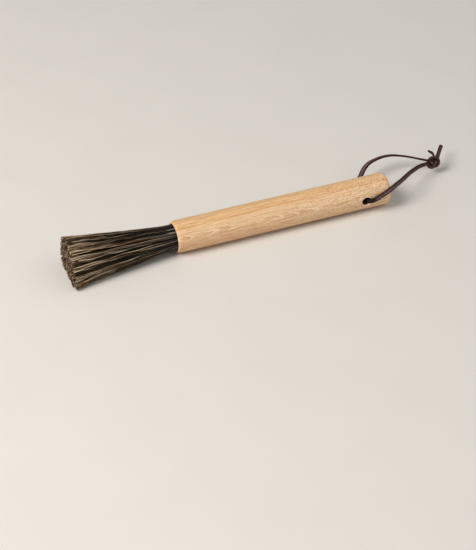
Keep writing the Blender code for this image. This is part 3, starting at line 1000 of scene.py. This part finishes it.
def strand_middle(strand, distance, go):
    """A strand's middle, (y, z) from the axis, and its radius, at a distance from the handle.

    go is that distance as a share of the bundle's length.
    """
    lock = strand.lock
    pull = strand.grip * smooth_step(0.05, 0.60, go) * (1 - 0.25 * smooth_step(0.7, 1.0, go))
    u = strand.u + (lock.u - strand.u) * pull + strand.fray_u * go**3
    v = strand.v + (lock.v - strand.v) * pull + strand.fray_v * go**3
    angle = math.atan2(v, u)
    radius = strand.radius * (0.88 + 0.22 * go)
    edge = ROOT_RADIUS - ROOT_GAP
    if distance < 0:
        edge += (TIE_RADIUS - edge) * smooth_step(0, TIE_RUN, -distance)
    reach = tuft_reach(distance, -math.sin(angle), edge, radius)
    off = min(math.hypot(u, v), 1.0) * reach
    y, z = off * math.cos(angle), off * math.sin(angle)
    for sideways, up in strand_bends(strand, go):
        y += sideways
        z += up
    spread = math.hypot(y, z)
    limit = reach - radius + strand.flyaway * math.sin(math.pi * go) ** 2
    if distance > 0 and (spread > limit or strand.flyaway):
        y, z = y * limit / spread, z * limit / spread
    y -= TUFT_DRIFT * go**2
    z = max(z, radius + LEAST_TABLE_GAP - AXIS_HEIGHT)
    z = min(z, TUFT_TOP - radius - AXIS_HEIGHT)
    return y, z, radius


def strand_shade(strand, go):
    glint = strand.tone * (0.80 + 0.20 * math.sin(go * strand.shimmer_rate + strand.shimmer))
    root, body = tone_colour(ROOT_TONES, glint), tone_colour(BODY_TONES, glint)
    shade = between(root, body, smooth_step(0.02, 0.30, go))
    return between(shade, tone_colour(TIP_TONES, strand.tip_tone), smooth_step(0.50, 1.0, go))


def add_strand(strand, points, faces, colours):
    """A strand's rings of points, its sides and its two ends, the cut one with its own colour."""
    first = len(points)
    rings = SHELL_RINGS if strand.outer else CORE_RINGS
    for at in rings:
        distance = at * (strand.length if at > 0 else ROOT_DEPTH)
        go = max(distance, 0) / TUFT_LENGTH
        y, z, radius = strand_middle(strand, distance, go)
        x = BRISTLE_END_X - distance
        for side in range(STRAND_SIDES):
            turn = math.tau * side / STRAND_SIDES + strand.spin
            up = AXIS_HEIGHT + z + radius * math.sin(turn)
            points.append((x, y + radius * math.cos(turn), up))
        colours += [*strand_shade(strand, go), 1.0] * STRAND_SIDES
    for ring in range(len(rings) - 1):
        a = first + ring * STRAND_SIDES
        b = a + STRAND_SIDES
        for side in range(STRAND_SIDES):
            n = (side + 1) % STRAND_SIDES
            faces.append((a + side, b + side, b + n, a + n))
    faces.append((first, first + 1, first + 2))
    end = len(points)
    points += points[-STRAND_SIDES:]
    colours += [*tone_colour(CUT_TONES, strand.cut_tone), 1.0] * STRAND_SIDES
    faces.append((end, end + 2, end + 1))


def make_bristles(material):
    rng = random.Random(23)
    locks = make_locks(rng)
    bundles = {"bristle_bundle": ([], [], []), "bristle_core": ([], [], [])}
    for number in range(STRANDS):
        strand = draw_strand(rng, number, locks)
        add_strand(strand, *bundles["bristle_bundle" if strand.outer else "bristle_core"])
    for name, (points, faces, colours) in bundles.items():
        made = mesh_object(name, points, faces, material)
        layer = made.data.attributes.new("strand_colour", "FLOAT_COLOR", "POINT")
        layer.data.foreach_set("color", colours)
        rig.ride(made, "brush")
        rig.replaces(made, "bristles")
        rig.slot(made, "dark_bristle")


# Lace

LACE_CORNER = LACE_THICKNESS * 0.38
LACE_CROWN = 0.04 * MM


def lace_section():
    """Outline of the flat lace, (across, through), with its cut edges and share from the middle."""
    half_w, half_t = LACE_WIDTH / 2 - LACE_CORNER, LACE_THICKNESS / 2 - LACE_CORNER
    outline, cut, aside = [], [], []
    for quarter, (sx, sy) in enumerate(((1, 1), (-1, 1), (-1, -1), (1, -1))):
        for step in range(4):
            angle = math.pi / 2 * (quarter + step / 3)
            x = sx * half_w + LACE_CORNER * math.cos(angle)
            y = sy * half_t + LACE_CORNER * math.sin(angle)
            outline.append((x, y))
            cut.append(1.0 if abs(math.cos(angle)) > 0.7 else 0.0)
            aside.append(1.0)
        if quarter in (0, 2):
            for share in (0.5, 0.0, -0.5):
                outline.append((half_w * share * sx, sy * (LACE_THICKNESS / 2 + LACE_CROWN)))
                cut.append(0.0)
                aside.append(abs(share))
    return outline, cut, aside


def sweep(name, centres, widths, material, sizes=None, cut_back=0.0, beyond=None):
    """A lace swept along centres, with the direction of its width at each of them.

    sizes thins it at each centre. cut_back slants the far end: how much shorter one edge is, as
    a share of the width. beyond holds the places before the first centre and after the last one.
    """
    outline, cut, aside = lace_section()
    points = []
    run = 0.0
    whole = sum(math.dist(a, b) for a, b in zip(centres, centres[1:]))
    for index, centre in enumerate(centres):
        along = direction(centres, index, beyond)
        across = (widths[index] - along * widths[index].dot(along)).normalized()
        through = along.cross(across)
        size = sizes[index] if sizes else 1.0
        run += math.dist(centre, centres[index - 1]) if index else 0.0
        slant = cut_back * smooth_step(whole - 6 * MM, whole, run)
        for x, y in outline:
            slip = along * (x + LACE_WIDTH / 2) * slant
            points.append(centre + across * x * size + through * y * size - slip)
    made = mesh_object(name, points, tube_faces(len(centres), len(outline)), material)
    point_values(made, "cut_edge", cut * len(centres))
    point_values(made, "from_middle", aside * len(centres))
    made.data.set_sharp_from_angle(angle=SHARP_ANGLE)
    return made


def upright_width(along, lean_deg):
    """The direction of the lace's width, upright and then leaned over along its route."""
    up = Vector((0, 0, 1))
    width = (up - along * up.dot(along)).normalized()
    lean = math.radians(lean_deg)
    return width * math.cos(lean) + along.cross(width) * math.sin(lean)


def lace_run(name, fine, runs, start, end, material, cut_back=0.0):
    """The stretch of lace between two distances along a route, and its centres and widths."""
    picked = stations(fine, runs, start, end, LACE_SPACING)
    centres = [HOLE + Vector(p[:3]) for p in picked]
    # The two places a little before and after it, for the direction of its ends
    start_beyond, end_beyond = max(start - LACE_SPACING, 0), min(end + LACE_SPACING, runs[-1])
    outer = stations(fine, runs, start_beyond, end_beyond, 1.0)
    beyond = [HOLE + Vector(p[:3]) for p in (outer[0], outer[-1])]
    widths = [
        upright_width(direction(centres, index, beyond), lean)
        for index, (*_, lean) in enumerate(picked)
    ]
    made = sweep(name, centres, widths, material, cut_back=cut_back, beyond=beyond)
    return made, centres, widths


def view_point(right, up, back):
    """A place in the knot from mm right, up and towards the photograph's viewer."""
    return KNOT_CENTRE + (VIEW_RIGHT * right + VIEW_UP * up + VIEW_BACK * back) * MM


def make_knot(material, entries):
    """Two laces side by side through the knot; entries are the ends of the two strands."""
    fine, runs = smooth_route(KNOT_ROUTE, KNOT_ROUTE_STEPS)
    picked = stations(fine, runs, 0.0, runs[-1], KNOT_SPACING)
    middle = [view_point(*p[:3]) for p in picked]
    wraps = []
    for number, (entry, entry_along, entry_width) in enumerate(entries):
        centres, widths, sizes = [], [], []
        side = (KNOT_OFFSET if number else -KNOT_OFFSET) * MM
        for index, centre in enumerate(middle):
            along = direction(middle, index)
            depth = (VIEW_BACK - along * VIEW_BACK.dot(along)).normalized()
            outward = along.cross(depth)
            turn = math.radians(picked[index][3])
            across = depth * math.cos(turn) + outward * math.sin(turn)
            through = along.cross(across)
            place = centre + through * side - across * side * KNOT_STAGGER
            # The first stretch carries on from the strand outside the knot
            run = index * KNOT_SPACING
            join = smooth_step(KNOT_JOIN_START, KNOT_JOIN_END, run)
            start = entry + entry_along * run * MM
            centres.append(start.lerp(place, join))
            if across.dot(entry_width) < 0:
                entry_width = -entry_width
            widths.append(entry_width.lerp(across, join).normalized())
            sizes.append(1.0 - KNOT_SQUEEZE * smooth_step(0.0, KNOT_JOIN_END, run))
        wraps.append(sweep(f"knot_wrap_{number + 1}", centres, widths, material, sizes))
    wraps.append(knot_filling(material))
    for wrap in wraps:
        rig.ride(wrap, "lace")
        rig.slot(wrap, "brown_leather")
        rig.replaces(wrap, "lace_knot")
    return wraps


def knot_filling(material):
    """The turns of the lace that lie out of sight in the middle of the knot."""
    rings, sides = 9, 20
    radius, depth, dent = 2.0, 1.1, 0.08
    points = []
    for ring in range(rings):
        tilt = math.pi * (ring + 0.5) / rings
        for side in range(sides):
            turn = math.tau * side / sides
            flat = radius * math.sin(tilt) * (1 + dent * math.sin(3 * turn + tilt * 2))
            right, up = flat * math.cos(turn), flat * math.sin(turn)
            points.append(view_point(right, up, -depth * math.cos(tilt)))
    made = mesh_object("knot_filling", points, tube_faces(rings, sides), material)
    point_values(made, "cut_edge", [0.0] * len(points))
    point_values(made, "from_middle", [1.0] * len(points))
    return made


def path_length(path):
    return sum((after - before).length for before, after in zip(path, path[1:]))


def make_lace(material):
    fine, runs = smooth_route(FAR_ROUTE + HOLE_ROUTE[1:] + NEAR_ROUTE[1:], ROUTE_STEPS)
    far_lip = runs[(len(FAR_ROUTE) - 1) * ROUTE_STEPS]
    near_lip = runs[(len(FAR_ROUTE) + len(HOLE_ROUTE) - 2) * ROUTE_STEPS]
    far_start = KNOT_STUB_LENGTH
    near_end = runs[-1] - KNOT_STUB_LENGTH
    far, far_path, far_width = lace_run("far_strand", fine, runs, far_start, far_lip, material)
    inner, _, _ = lace_run("strand_in_hole", fine, runs, far_lip, near_lip, material)
    near, near_path, near_width = lace_run("near_strand", fine, runs, near_lip, near_end, material)
    fine, runs = smooth_route(LONG_TAIL_ROUTE, ROUTE_STEPS)
    long_tail, _, _ = lace_run("long_tail", fine, runs, 0.0, runs[-1], material, LONG_TAIL_SLANT)
    fine, runs = smooth_route(SHORT_TAIL_ROUTE, ROUTE_STEPS)
    short_tail, _, _ = lace_run("short_tail", fine, runs, 0.0, runs[-1], material)
    entries = (
        (far_path[0], (far_path[0] - far_path[1]).normalized(), far_width[0]),
        (near_path[-1], (near_path[-1] - near_path[-2]).normalized(), near_width[-1]),
    )
    wraps = make_knot(material, entries)
    for piece, node in (
        (far, "lace_far_strand"),
        (inner, "lace_through_hole"),
        (near, "lace_near_strand"),
        (long_tail, "lace_long_tail"),
        (short_tail, "lace_short_tail"),
    ):
        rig.ride(piece, "lace")
        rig.replaces(piece, node)
        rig.slot(piece, "brown_leather")
    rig.cord(
        near,
        exit=near_path[0],
        length=path_length(near_path),
        diameter=LACE_WIDTH,
        far_end="knot",
        stiffness="medium",
        lay="loose",
        path=near_path,
        with_pieces=[*wraps, long_tail, short_tail, inner],
    )
    far_path.reverse()
    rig.cord(
        far,
        exit=far_path[0],
        length=path_length(far_path),
        diameter=LACE_WIDTH,
        far_end="knot",
        stiffness="medium",
        lay="loose",
        path=far_path,
    )


# Setting

FLOOR_SIZE = 8.0
SKY_COLOUR = (1.0, 0.985, 0.96, 1)
SKY_STRENGTH = 0.30
LAMP_COLOUR = (1.0, 0.96, 0.90)
LAMPS_AIM = Vector((0.02, 0, 0))
# Name, direction from where they aim, distance, width and power
LAMPS = (
    ("key", Vector((-0.980, -0.206, 1.0)), 1.6, 0.9, 23.0),
    ("fill", Vector((0.3, -1.0, 1.0)), 1.8, 1.4, 2.2),
    ("side", Vector((1.0, -0.5, 0.8)), 1.8, 1.6, 4.0),
)


def make_floor():
    bpy.ops.mesh.primitive_plane_add(size=FLOOR_SIZE, location=(0, 0, 0))
    floor = bpy.context.object
    floor.name = "floor"
    floor.data.materials.append(floor_material())
    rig.stage(floor)


def make_lights():
    world = bpy.data.worlds.new("studio")
    bpy.context.scene.world = world
    world.use_nodes = True
    sky = world.node_tree.nodes["Background"]
    sky.inputs[0].default_value = SKY_COLOUR
    sky.inputs[1].default_value = SKY_STRENGTH
    for name, toward, distance, size, power in LAMPS:
        lamp = bpy.data.lights.new(name, "AREA")
        lamp.shape = "DISK"
        lamp.size = size
        lamp.energy = power
        lamp.color = LAMP_COLOUR
        made = bpy.data.objects.new(name, lamp)
        bpy.context.scene.collection.objects.link(made)
        made.location = LAMPS_AIM + toward.normalized() * distance
        made.rotation_euler = toward.to_track_quat("Z", "Y").to_euler()


def make_camera():
    camera = bpy.data.cameras.new("camera")
    camera.lens = LENS_MM
    camera.sensor_width = SENSOR_MM
    made = bpy.data.objects.new("camera", camera)
    bpy.context.scene.collection.objects.link(made)
    made.rotation_euler = VIEW_BACK.to_track_quat("Z", "Y").to_euler()
    made.location = CAMERA_PLACE
    bpy.context.scene.camera = made


make_camera()
make_lace(leather_material())
make_handle(oak_material())
make_bristles(bristle_material())
for node, material in (("binding_thread", thread_material()), ("glue_bed", glue_material())):
    mesh = frame["nodes"][node].data
    mesh.materials.clear()
    mesh.materials.append(material)
make_floor()
make_lights()
bpy.context.scene.view_settings.view_transform = "Standard"
with open("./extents.json", "w") as out:
    json.dump({"cad": CAD_BOX, "visual": [list(corner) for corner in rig.bounds()]}, out)
